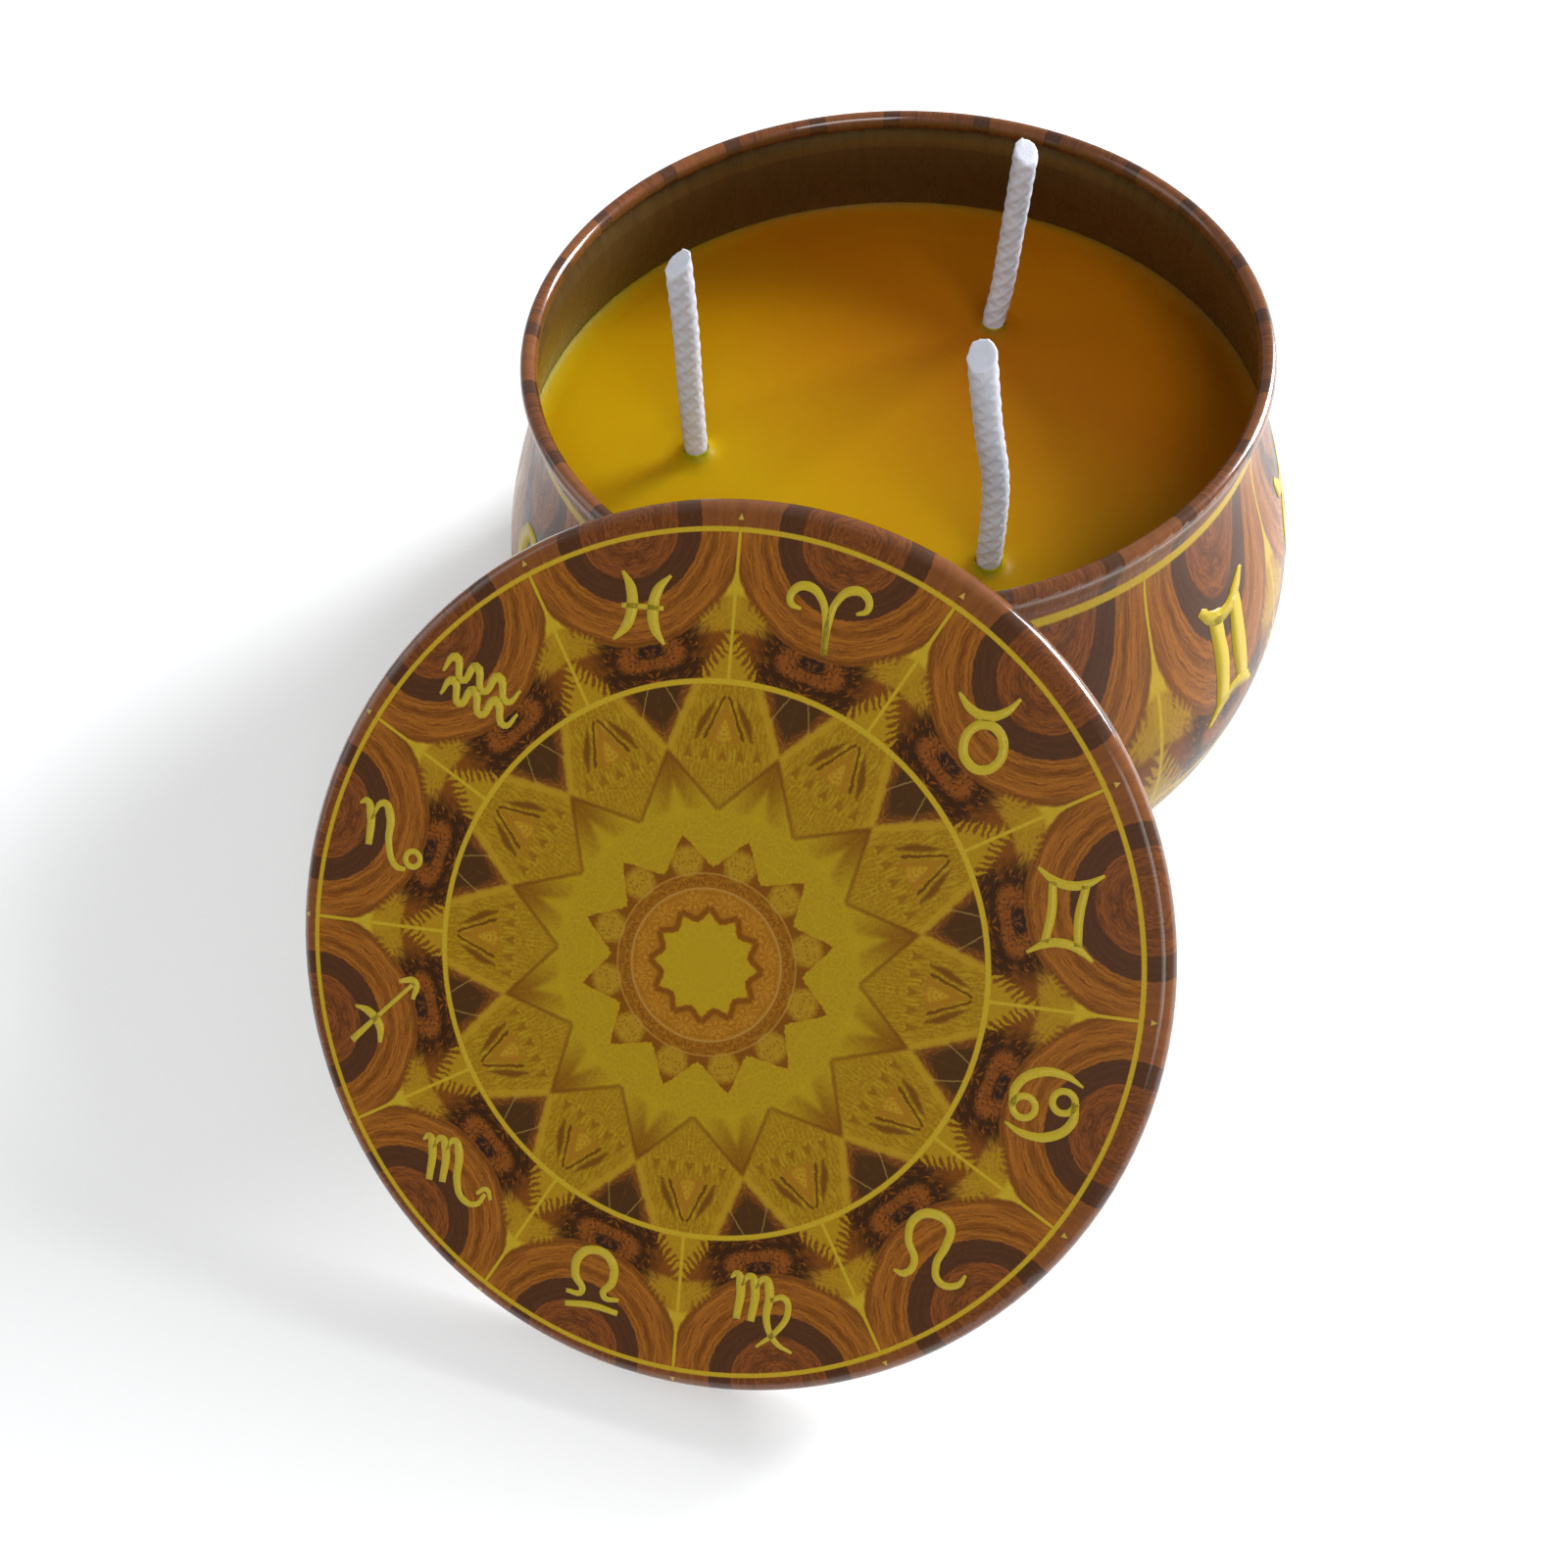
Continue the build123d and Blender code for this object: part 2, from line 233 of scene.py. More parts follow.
# Outer zone: wooden knots drawn round a point near the rim midway between spokes, and between
# them the paler field that each spoke stands in.
KNOT = (39.2, 10.5)
KNOT_SIZE, KNOT_RING, KNOT_FIELD = 7.0, 2.2, 10.9
from_knot = add(rosette, "VectorMath", [etched, (KNOT[0], KNOT[1], 0.0)], out=1,
                operation="DISTANCE")
round_knot = add(rosette, "Math", [
    add(rosette, "Math", [v, KNOT[1]], operation="SUBTRACT"),
    add(rosette, "Math", [u, KNOT[0]], operation="SUBTRACT")], operation="ARCTAN2")
grain_way = add(rosette, "CombineXYZ", [
    add(rosette, "Math", [from_knot, 4.2], operation="MULTIPLY"),
    add(rosette, "Math", [round_knot, 2.4], operation="MULTIPLY"), 0.0])
streak = add(rosette, "TexNoise", {"Vector": grain_way, "Scale": 1.0, "Detail": 6.0, "Roughness": 0.72})
slant_way = add(rosette, "CombineXYZ", [
    add(rosette, "Math", [add(rosette, "Math", [u, v], operation="ADD"), 3.4], operation="MULTIPLY"),
    add(rosette, "Math", [add(rosette, "Math", [u, v], operation="SUBTRACT"), 0.6],
        operation="MULTIPLY"), 0.0])
slant = add(rosette, "TexNoise", {"Vector": slant_way, "Scale": 1.0, "Detail": 4.0, "Roughness": 0.7})

comb_way = add(rosette, "CombineXYZ", [
    add(rosette, "Math", [u, 0.6], operation="MULTIPLY"),
    add(rosette, "Math", [v, 6.0], operation="MULTIPLY"), 0.0])
comb = add(rosette, "TexNoise", {"Vector": comb_way, "Scale": 1.0, "Detail": 4.0, "Roughness": 0.7})

# Dark hollows between the twigs, each with a lighter ringed eye, on the paler field.
art = mottled(slant, 0.34, 0.62, "5E3A12", "9C701D")
art = inked(art, [patch([(30.9, -1.0), (30.9, 0.0), (29.4, 4.6), (25.0, 8.0), (25.0, -1.0)], 0.7)],
            "6A3912", 0.9)
smudge = add(rosette, "VectorMath", [etched, (27.6, 7.2, 0.0)], out=1, operation="DISTANCE")
art = inked(art, [between(smudge, BEFORE, 5.0, 2.2)], "36200F", grain=(cloud, 0.24, 0.44))
eye = add(rosette, "VectorMath", [
    add(rosette, "VectorMath", [etched, (28.2, 7.55, 0.0)], operation="SUBTRACT"),
    (1.5, 0.75, 1.0)], operation="MULTIPLY")
eye = add(rosette, "VectorMath", [eye], out=1, operation="LENGTH")
art = inked(art, [between(eye, 1.1, 2.5, 0.7)], "7C451A", grain=(grit, 0.3, 0.6))
art = inked(art, [between(eye, BEFORE, 0.95, 0.6)], "2C1D16")
art = inked(art, [between(smudge, BEFORE, 5.0, 3.0)], "7A4516", grain=(slant, 0.54, 0.64))

# The knots: streaky wood out to the field's edge, a dark ring, and a brown heart.
wood = mottled(streak, 0.34, 0.62, "653814", "935A1E")
heart = mottled(streak, 0.34, 0.64, "522E17", "7E471F")
in_field = add(rosette, "Math", [
    between(from_knot, BEFORE, KNOT_FIELD, 0.25),
    add(rosette, "MapRange", [u, 35.7, 35.9, 0.0, 1.0])], operation="MAXIMUM")
art = inked(art, [in_field], wood)
art = inked(art, [between(from_knot, 7.9, 8.4, 0.5)], "50290D", 0.5)
art = inked(art, [between(from_knot, KNOT_FIELD - 0.5, KNOT_FIELD, 0.3)], "5A3210", 0.6)
art = inked(art, [between(from_knot, BEFORE, KNOT_SIZE, 0.16)], heart)
art = inked(art, [between(from_knot, KNOT_SIZE - KNOT_RING, KNOT_SIZE, 0.2)], "3E281A", 0.82)
art = inked(art, [between(from_knot, 2.6, 3.1, 0.6)], "482A18", 0.5)

# Fir twig on each spoke: a yellow cone whose edge is broken into slanting needles.
NEEDLE_SLANT, NEEDLE_CLOSENESS, NEEDLE_LENGTH = -1.3, 6.5, 0.55
needles = add(rosette, "Math", [
    add(rosette, "Math", [v, NEEDLE_SLANT, u], operation="MULTIPLY_ADD"), NEEDLE_CLOSENESS,
    add(rosette, "Math", [cloud, 16.0], operation="MULTIPLY")], operation="MULTIPLY_ADD")
needles = add(rosette, "Math", [needles], operation="SINE")
needle_spot = add(rosette, "CombineXYZ", [
    u, add(rosette, "Math", [needles, NEEDLE_LENGTH, v], operation="MULTIPLY_ADD"), 1.0])
art = inked(art, [patch([(34.6, -0.5), (31.4, 2.9), (30.6, 1.4), (30.2, -0.5)], 0.8, needle_spot)],
            INK_GOLD, 0.65)
art = inked(art, [patch([(31.4, -0.6), (27.2, 2.1), (25.6, 2.3), (25.0, -1.0)], 0.5, needle_spot)],
            INK_GOLD, 0.92)
art = inked(art, [patch([(30.8, 0.3), (27.4, 2.3), (26.2, 2.0), (28.6, 0.2)], 0.5)], "6E4212",
            grain=(needles, -0.2, 0.5))
off_field = add(rosette, "MapRange", [from_knot, KNOT_FIELD, KNOT_FIELD + 0.2, 0.0, 1.0])
art = inked(art, [off_field, between(u, 33.6, 35.9, 0.3), between(v, BEFORE, 1.6, 0.3)], INK_LINE)
art = inked(art, [patch([(33.8, -1.0), (33.7, 0.8), (31.0, 0.35), (31.0, -1.0)], 0.5)], INK_GOLD, 0.6)

# Inner zone: yellow ground with the petals, the dark spearheads between them, and pen strokes.
SPEAR = [(19.4, 5.25), (22.6, 3.9), (25.6, 2.8), (27.0, 7.4)]
inside = add(rosette, "MapRange", [radius, INNER_CIRCLE - 0.2, INNER_CIRCLE, 1.0, 0.0])
ground = mottled(grit, 0.25, 0.7, "957617", INK_YELLOW)
petal = patch([(14.7, -0.5), (14.7, 0.0), (19.0, 5.1), (27.0, 4.0), (27.0, -0.5)], 0.3)
ground = inked(ground, [petal], "80560F", 0.85, (grit, 0.34, 0.58))
ground = inked(ground, [petal], "A88C20", 0.55, (comb, 0.5, 0.62))
ground = inked(ground, [patch(SPEAR, 0.35)], "603715")
ground = inked(ground, [patch(SPEAR, 0.5)], "84501B", grain=(slant, 0.5, 0.62))
ground = inked(ground, [patch([(21.0, 5.8), (23.0, 4.7), (25.6, 4.2), (27.0, 7.6)], 0.8)], "432B14",
               grain=(cloud, 0.2, 0.38))
ground = inked(ground, [stroke((25.9, 6.5), (22.2, 3.7), 0.12, 0.12)], "94783C", 0.6)
ground = inked(ground, [stroke((25.6, 2.9), (19.5, 5.15), 0.7, 0.5)], "A07E1C", 0.85)
# Nested arrowheads in each petal, and a row of three teeth under them.
ground = inked(ground, [patch([(25.0, 0.35), (24.6, 0.9), (22.6, 2.35), (20.7, 2.75), (20.9, 2.0),
                               (22.9, 1.4)], 0.35)], "643D10", 0.95)
ground = inked(ground, [patch([(24.3, -0.5), (24.2, 0.0), (20.6, 1.6), (20.3, -0.5)], 0.4)], "8E5F18",
               0.75)
ground = inked(ground, [patch([(22.6, -0.5), (22.6, 0.1), (20.7, 0.8), (20.6, -0.5)], 0.3)], "A07C1E",
               grain=(grit, 0.35, 0.55))
ground = inked(ground, [stroke((24.7, 0.2), (20.8, 1.85), 0.26, 0.15)], "5C370F", 0.95)
for middle in (0.0, 1.65, 3.25):
    tooth = patch([(20.2, middle), (19.0, middle - 0.42), (19.0, middle + 0.42)], 0.25)
    ground = inked(ground, [tooth], "74490F", 0.7)
# Brown wedges below the petals, cleared again lower down, and the petals' lower edges.
ground = inked(ground, [patch([(19.5, 5.25), (14.8, 0.1), (14.0, 3.9)], 0.3)], "70430F", 0.9,
               (v, 0.6, 5.2))
ground = inked(ground, [patch([(17.6, 5.3), (13.6, 2.2), (13.0, 4.5)], 1.0)], INK_YELLOW, 0.95)
ground = inked(ground, [stroke((14.5, 0.0), (19.3, 5.2), 0.3, 0.35)], "6B4210", 0.8)

# Star, its ring with two hair lines, and the scalloped yellow disc in the middle.
STAR = [(9.1, 0.0), (11.85, 3.18), (6.0, 3.9), (-2.0, 3.6), (-2.0, -2.0), (7.0, -2.0)]
DISC = [(4.85, 0.0), (3.8, 1.1), (-2.0, 2.2), (-2.0, -2.0), (4.0, -1.0)]
ground = inked(ground, [patch(STAR, 0.14)], "71430F")
blotch = add(rosette, "VectorMath", [etched, (9.35, 2.5, 0.0)], out=1, operation="DISTANCE")
ground = inked(ground, [between(blotch, BEFORE, 1.45, 0.8)], "96741B", grain=(grit, 0.28, 0.5))
ground = inked(ground, [between(radius, 7.2, 8.4, 0.3)], "8A5A16", grain=(grit, 0.4, 0.6))
ground = inked(ground, [between(radius, BEFORE, 7.05, 0.12)], "8E5C16")
ground = inked(ground, [between(radius, 5.2, 7.0, 0.8)], "9E6C1F", grain=(grit, 0.45, 0.6))
ground = inked(ground, [between(radius, 7.05, 7.25, 0.12)], "A37A38", 0.8)
ground = inked(ground, [between(radius, 8.45, 8.62, 0.12)], "A07430", 0.7)
ground = inked(ground, [stroke((5.5, 0.0), (3.9, 1.3), 0.5, 0.25)], "6E400F", 0.9)
ground = inked(ground, [patch(DISC, 0.14)], INK_YELLOW)
art = inked(art, [inside], ground)

# Spokes, the two yellow circles, the border, and a small gold triangle outside each spoke.
INNER_HALF_LINE, OUTER_HALF_LINE = 0.25, 0.22
art = inked(art, [between(v_true, BEFORE, 0.15, 0.12), between(radius, INNER_CIRCLE, 39.4, 0.3)],
            INK_LINE)
art = inked(art, [between(radius, INNER_CIRCLE - INNER_HALF_LINE, INNER_CIRCLE + INNER_HALF_LINE,
                          0.14)], INK_LINE)
art = inked(art, [between(radius, OUTER_CIRCLE - OUTER_HALF_LINE, OUTER_CIRCLE + OUTER_HALF_LINE,
                          0.12)], INK_LINE)
at_border = between(radius, OUTER_CIRCLE + 0.3, BEYOND, 0.2)
art = inked(art, [at_border, between(from_knot, KNOT_SIZE, BEYOND, 0.2)], BORDER_ORANGE, 0.7)
art = inked(art, [at_border], "4A2A18", 0.18)
gold_spot = add(rosette, "CombineXYZ", [u_true, v_true, 1.0])
art = inked(art, [patch([(40.85, 0.0), (40.3, 0.26), (40.3, -0.3)], 0.06, gold_spot)], "B0953F", 0.9)
# Every ink lies a little unevenly on the tin.
art = add(rosette, "HueSaturation", {
    "Color": art, "Value": add(rosette, "MapRange", [grit, 0.2, 0.8, 0.84, 1.14])})
add(rosette, "NodeGroupOutput", [art])

# ---- lid -----------------------------------------------------------------------------------
# Slip lid of 0.3 mm tinplate, stamped with a rounded edge, its lower edge rolled inwards. Face
# and skirt carry the print under varnish; inside it is plain lacquered tin. Only leans here.
LID_CENTRE = Vector((-20.899, -65.094, 27.370)) * MM
FIRST_SPOKE = radians(96.4)
PRINT_OFF = (-0.37, -0.52, 0.0)      # the print sits half a millimetre off the lid's middle
LID_EDGE_RADIUS = 41.9
LID_HEIGHT = 4.5
lid_axis = Vector(frame["joints"][0]["axis"])
lid_turned = Euler((acos(lid_axis.z), 0.0, atan2(lid_axis.x, -lid_axis.y)))
lid_place = Matrix.Translation(LID_CENTRE) @ lid_turned.to_matrix().to_4x4()

# Lithographed tinplate: flat inks under a clear satin varnish, with a faint orange-peel skin.
lid_print, tree = new_finish("lithographed_tinplate_lid")
local = add(tree, "Mapping", [add(tree, "TexCoord", out=3), LID_CENTRE, lid_turned, (MM, MM, MM)],
            vector_type="TEXTURE")
east, north, up = (add(tree, "SeparateXYZ", [local], out=i) for i in range(3))
lid_radius = add(tree, "VectorMath", [add(tree, "CombineXYZ", [east, north, 0.0])], out=1,
                 operation="LENGTH")
off_middle = add(tree, "VectorMath", [add(tree, "CombineXYZ", [east, north, 0.0]), PRINT_OFF],
                 operation="SUBTRACT")
art_radius = add(tree, "VectorMath", [off_middle], out=1, operation="LENGTH")
art_angle = add(tree, "Math", [
    add(tree, "Math", [add(tree, "SeparateXYZ", [off_middle], out=1),
                       add(tree, "SeparateXYZ", [off_middle], out=0)], operation="ARCTAN2"),
    FIRST_SPOKE], operation="SUBTRACT")
face_way = add(tree, "VectorMath", [add(tree, "NewGeometry", out=3), lid_axis], out=1,
               operation="DOT_PRODUCT")
# Plain tin shows where the sheet faces down or inwards.
on_skirt = add(tree, "MapRange", [lid_radius, LID_EDGE_RADIUS - 0.2, LID_EDGE_RADIUS - 0.1, 0.0, 1.0])
on_face = add(tree, "MapRange", [face_way, 0.1, 0.2, 0.0, 1.0])
shown = add(tree, "Math", [on_skirt, on_face], operation="MAXIMUM")
low_down = add(tree, "MapRange", [up, 0.15 - LID_HEIGHT, 0.35 - LID_HEIGHT, 0.0, 1.0])
shown = add(tree, "Math", [shown, low_down], operation="MULTIPLY")
peel = add(tree, "TexNoise", {"Vector": local, "Scale": 1.1, "Detail": 2.0})
rub = add(tree, "TexNoise", {"Vector": local, "Scale": 0.25, "Detail": 4.0})
artwork = add(tree, "Group", {0: art_radius, 1: art_angle}, node_tree=rosette)
lacquer = add(tree, "Mix", {0: rub, 6: colour("A9A69B"), 7: colour("C2BEAF")}, out=2, data_type="RGBA")
close_finish(tree, {
    "Base Color": add(tree, "Mix", {0: shown, 6: lacquer, 7: artwork},
                      out=2, data_type="RGBA"),
    "Metallic": add(tree, "MapRange", [shown, 0.0, 1.0, 0.85, 0.0]),
    "Roughness": add(tree, "MapRange", [rub, 0.3, 0.7, 0.30, 0.38]),
    "Specular IOR Level": 0.04, "Coat Roughness": 0.1,
    "Coat Weight": add(tree, "MapRange", [lid_radius, 40.4, 40.9, 0.02, 0.8]),
    "Normal": add(tree, "Bump", {"Height": peel, "Strength": 0.06, "Distance": 0.00003})})
frame["nodes"]["lid"].material_slots[0].material = lid_print

# ---- zodiac signs --------------------------------------------------------------------------
# The twelve ancient signs, screened in opaque yellow ink one to a sector, on lid and side. Each
# is a few broad-pen strokes: a ribbon of ink a hundredth of a millimetre thick.
SIGN_RADIUS = 33.1
FIRST_SIGN = radians(111.4)
INK_FILM = 0.012
SIGN_LIFT = 0.012                  # between the lid's face and the ink's underside
PEN_WEIGHT, SIDE_PEN_WEIGHT = 1.4, 3.2
SIGNS_TURN = radians(5.0)


def loop(x, y, wide, high, pen):
    """A closed round stroke."""
    return [(x + wide * cos(k * pi / 4), y + high * sin(k * pi / 4), pen) for k in range(8)] + ["closed"]


STEMS = [[(-3.7, 2.5, 0.15), (-3.1, 3.0, 0.5), (-2.7, 2.1, 0.65), (-2.75, -1.4, 0.5)],
         [(-2.6, 1.9, 0.15), (-1.8, 3.0, 0.5), (-1.3, 2.1, 0.65), (-1.35, -1.4, 0.5)]]
WAVE = [(-4.3, 1.2, 0.2), (-3.1, 2.6, 0.6), (-2.3, 0.5, 0.45), (-1.0, 1.9, 0.6), (-0.1, -0.3, 0.45),
        (1.3, 1.2, 0.6), (2.3, -1.0, 0.45), (3.6, 0.2, 0.2)]
SIGNS = [
    [[(-2.2, 3.1, 0.2), (-1.3, 1.7, 0.7), (-1.0, 0.0, 0.8), (-1.35, -1.7, 0.7), (-2.5, -3.1, 0.2)],
     [(2.4, 3.1, 0.2), (1.3, 1.7, 0.7), (1.0, 0.0, 0.8), (1.35, -1.7, 0.7), (2.4, -3.1, 0.2)],
     [(-2.0, 0.05, 0.32), (0.0, 0.1, 0.34), (2.0, 0.1, 0.3)]],
    [[(-2.5, 0.9, 0.2), (-3.5, 1.4, 0.45), (-3.2, 2.6, 0.55), (-1.9, 2.9, 0.6), (-0.7, 1.9, 0.5),
      (-0.15, 0.0, 0.45), (0.0, -2.9, 0.4)],
     [(2.5, 0.9, 0.2), (3.5, 1.4, 0.45), (3.2, 2.6, 0.55), (1.9, 2.9, 0.6), (0.7, 1.9, 0.5),
      (0.15, 0.0, 0.45), (0.0, -2.9, 0.4)]],
    [loop(0.0, -1.1, 1.75, 2.0, 0.6),
     [(-2.7, 3.4, 0.2), (-1.5, 2.1, 0.55), (0.0, 1.6, 0.65), (1.5, 2.1, 0.55), (2.7, 3.4, 0.2)]],
    [[(-2.9, 3.8, 0.2), (-1.3, 2.8, 0.55), (0.0, 2.55, 0.6), (1.3, 2.8, 0.55), (2.9, 3.8, 0.2)],
     [(-2.9, -3.8, 0.2), (-1.3, -2.8, 0.55), (0.0, -2.55, 0.6), (1.3, -2.8, 0.55), (2.9, -3.8, 0.2)],
     [(-1.45, 2.7, 0.5), (-1.2, 0.0, 0.6), (-1.45, -2.7, 0.5)],
     [(1.45, 2.7, 0.5), (1.2, 0.0, 0.6), (1.45, -2.7, 0.5)]],
    [loop(-1.7, -0.5, 1.0, 1.0, 0.45), loop(1.7, 0.5, 1.0, 1.0, 0.45),
     [(-2.75, -0.6, 0.45), (-2.6, 1.3, 0.6), (-0.9, 2.8, 0.65), (1.5, 2.9, 0.5), (3.2, 2.1, 0.15)],
     [(2.75, 0.6, 0.45), (2.6, -1.3, 0.6), (0.9, -2.8, 0.65), (-1.5, -2.9, 0.5), (-3.2, -2.1, 0.15)]],
    [[(-3.2, -2.6, 0.2), (-2.2, -2.8, 0.5), (-1.4, -1.6, 0.5), (-2.2, 0.6, 0.5), (-1.8, 2.6, 0.6),
      (-0.2, 3.3, 0.65), (1.4, 2.4, 0.6), (1.3, 0.6, 0.55), (0.6, -1.4, 0.5), (1.1, -3.0, 0.5),
      (2.7, -3.0, 0.45), (3.4, -1.9, 0.2)]],
    STEMS + [[(-1.2, 1.9, 0.15), (-0.4, 3.0, 0.5), (0.1, 2.1, 0.65), (0.2, -1.2, 0.5), (1.3, -3.0, 0.4),
              (2.9, -3.7, 0.2)],
             [(0.3, 1.0, 0.3), (1.6, 1.5, 0.45), (2.1, 0.2, 0.45), (1.2, -1.9, 0.4), (-0.6, -3.8, 0.2)]],
    [[(-2.7, -1.6, 0.3), (-1.1, -1.4, 0.45), (-1.9, 0.2, 0.6), (-1.6, 2.2, 0.65), (0.0, 3.0, 0.6),
      (1.6, 2.2, 0.65), (1.9, 0.2, 0.6), (1.1, -1.4, 0.45), (2.7, -1.6, 0.3)],
     [(-2.7, -2.9, 0.4), (0.0, -2.6, 0.5), (2.7, -2.9, 0.4)]],
    STEMS + [[(-1.2, 1.9, 0.15), (-0.4, 3.0, 0.5), (0.1, 2.1, 0.65), (0.2, -1.2, 0.55), (0.9, -2.7, 0.5),
              (2.3, -3.0, 0.4), (3.2, -1.8, 0.3)],
             [(2.3, -1.9, 0.25), (3.3, -1.3, 0.35), (3.8, -2.3, 0.25)]],
    [[(-3.1, -3.4, 0.5), (0.0, 0.0, 0.3), (3.0, 3.2, 0.3)],
     [(1.4, 3.2, 0.3), (3.1, 3.3, 0.55), (3.0, 1.6, 0.3)],
     [(-3.0, 0.1, 0.2), (-1.5, -0.3, 0.6), (-0.3, -1.5, 0.65), (-0.1, -3.2, 0.3)]],
    [[(-3.6, 2.8, 0.15), (-2.9, 3.1, 0.5), (-2.4, 1.9, 0.65), (-2.4, -1.1, 0.5)],
     [(-2.3, 1.4, 0.15), (-1.1, 3.1, 0.5), (-0.4, 2.1, 0.65), (-0.3, -0.8, 0.5), (0.6, -2.8, 0.45),
      (1.6, -3.0, 0.3)], loop(2.3, -1.9, 0.75, 0.75, 0.4)],
    [WAVE, [(x - 0.1, y - 2.2, pen) for x, y, pen in WAVE]],
]


def pen_nib():
    """The flat nib that the ribbons are drawn with: a line one unit wide."""
    nib_curve = bpy.data.curves.new("nib", "CURVE")
    nib_line = nib_curve.splines.new("POLY")
    nib_line.points.add(1)
    nib_line.points[0].co = (-0.5, 0, 0, 1)
    nib_line.points[1].co = (0.5, 0, 0, 1)
    nib_object = bpy.data.objects.new("nib", nib_curve)
    bpy.context.scene.collection.objects.link(nib_object)
    return nib_object


def inked_sign(strokes, nib, stretch, weight):
    """One sign as flat ribbons in the XY plane, in metres; stretch lengthens it along Y."""
    pen = bpy.data.curves.new("sign", "CURVE")
    pen.dimensions = "2D"
    pen.fill_mode = "NONE"
    pen.resolution_u = 6
    pen.bevel_mode = "OBJECT"
    pen.bevel_object = nib
    for points in strokes:
        closed = points[-1] == "closed"
        points = points[:-1] if closed else points
        line = pen.splines.new("BEZIER")
        line.bezier_points.add(len(points) - 1)
        line.use_cyclic_u = closed
        for knot, (x, y, wide) in zip(line.bezier_points, points):
            knot.co = (x, y * stretch, 0)
            knot.radius = wide * weight
            knot.handle_left_type = knot.handle_right_type = "AUTO"
    drawn = bpy.data.objects.new("sign", pen)
    bpy.context.scene.collection.objects.link(drawn)
    bpy.ops.object.select_all(action="DESELECT")
    drawn.select_set(True)
    bpy.context.view_layer.objects.active = drawn
    bpy.ops.object.convert(target="MESH")
    return bpy.context.active_object


def one_piece(parts, name):
    """Joins these meshes into one piece at the origin."""
    bpy.ops.object.select_all(action="DESELECT")
    for part in parts:
        part.select_set(True)
    bpy.context.view_layer.objects.active = parts[0]
    bpy.ops.object.transform_apply(location=True, rotation=True, scale=True)
    bpy.ops.object.join()
    whole = bpy.context.active_object
    whole.name = name
    return whole


def thickened(piece, thick):
    """Gives a sheet of ink its thickness, outwards."""
    bpy.context.view_layer.objects.active = piece
    film = piece.modifiers.new("film", "SOLIDIFY")
    film.thickness = thick
    film.offset = 1.0
    bpy.ops.object.modifier_apply(modifier=film.name)


nib = pen_nib()
lid_signs = []
for k, strokes in enumerate(SIGNS):
    sign = inked_sign(strokes, nib, 1.0, PEN_WEIGHT)
    at = FIRST_SIGN - k * 2 * pi / SPOKES
    sign.matrix_world = lid_place @ Matrix.Translation(
        ((SIGN_RADIUS * cos(at) + PRINT_OFF[0]) * MM, (SIGN_RADIUS * sin(at) + PRINT_OFF[1]) * MM,
         SIGN_LIFT * MM)) @ Matrix.Rotation(SIGNS_TURN, 4, "Z") @ Matrix.Diagonal((MM, MM, MM, 1))
    lid_signs.append(sign)
lid_signs = one_piece(lid_signs, "lid_signs")
if lid_signs.data.polygons[0].normal.dot(lid_axis) < 0:
    bpy.ops.object.mode_set(mode="EDIT")
    bpy.ops.mesh.select_all(action="SELECT")
    bpy.ops.mesh.flip_normals()
    bpy.ops.object.mode_set(mode="OBJECT")
thickened(lid_signs, INK_FILM * MM)

# Opaque yellow screen ink under the same varnish, a little uneven where the screen lifted.
screen_ink, tree = new_finish("yellow_screen_ink")
speckle = add(tree, "TexNoise", {"Vector": add(tree, "TexCoord", out=3), "Scale": 1 / (0.35 * MM),
                                 "Detail": 3.0})
close_finish(tree, {
    "Base Color": add(tree, "Mix", {0: speckle, 6: colour("A08A1E"), 7: colour("B29C2C")}, out=2,
                      data_type="RGBA"),
    "Roughness": 0.34, "Specular IOR Level": 0.1, "Coat Weight": 0.06, "Coat Roughness": 0.1,
    "Normal": add(tree, "Bump", {"Height": speckle, "Strength": 0.1, "Distance": 0.00001})})
lid_signs.data.materials.append(screen_ink)
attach(lid_signs, "lid")

# ---- tin body ------------------------------------------------------------------------------
# Seamless bellied body drawn from 0.3 mm printed tinplate, its rim rolled over into a bead that
# still shows print. The print stretched as it was drawn; inside is plain gold-brown lacquer.
COLLAR_LINE = 40.0                 # height of the yellow line under the bead
SIDE_STRETCH = 0.446               # flat artwork used up by each millimetre of height
SIDE_SPOKE = radians(-56.0)
BEAD_LOW, BEAD_IN = 42.9, 38.15    # the roll starts above here and outside here

body_print, tree = new_finish("lithographed_tinplate_body")
local = add(tree, "VectorMath", {0: add(tree, "TexCoord", out=3), 3: 1 / MM}, operation="SCALE")
east, north, up = (add(tree, "SeparateXYZ", [local], out=i) for i in range(3))
level = add(tree, "CombineXYZ", [east, north, 0.0])
body_radius = add(tree, "VectorMath", [level], out=1, operation="LENGTH")
outward = add(tree, "VectorMath", [add(tree, "VectorMath", [level], operation="NORMALIZE"),
                                   add(tree, "NewGeometry", out=3)], out=1, operation="DOT_PRODUCT")
art_radius = add(tree, "MapRange", [
    up, COLLAR_LINE - 60, COLLAR_LINE, OUTER_CIRCLE - 60 * SIDE_STRETCH, OUTER_CIRCLE], clamp=False)
art_angle = add(tree, "Math", [add(tree, "Math", [north, east], operation="ARCTAN2"), SIDE_SPOKE],
                operation="SUBTRACT")
facing_out = add(tree, "MapRange", [outward, -0.02, 0.02, 0.0, 1.0])
on_bead = add(tree, "Math", [add(tree, "MapRange", [up, BEAD_LOW, BEAD_LOW + 0.1, 0.0, 1.0]),
                             add(tree, "MapRange", [body_radius, BEAD_IN - 0.1, BEAD_IN, 0.0, 1.0])],
              operation="MULTIPLY")
shown = add(tree, "Math", [facing_out, on_bead], operation="MAXIMUM")
under = add(tree, "MapRange", [up, 0.6, 1.4, 0.0, 1.0])
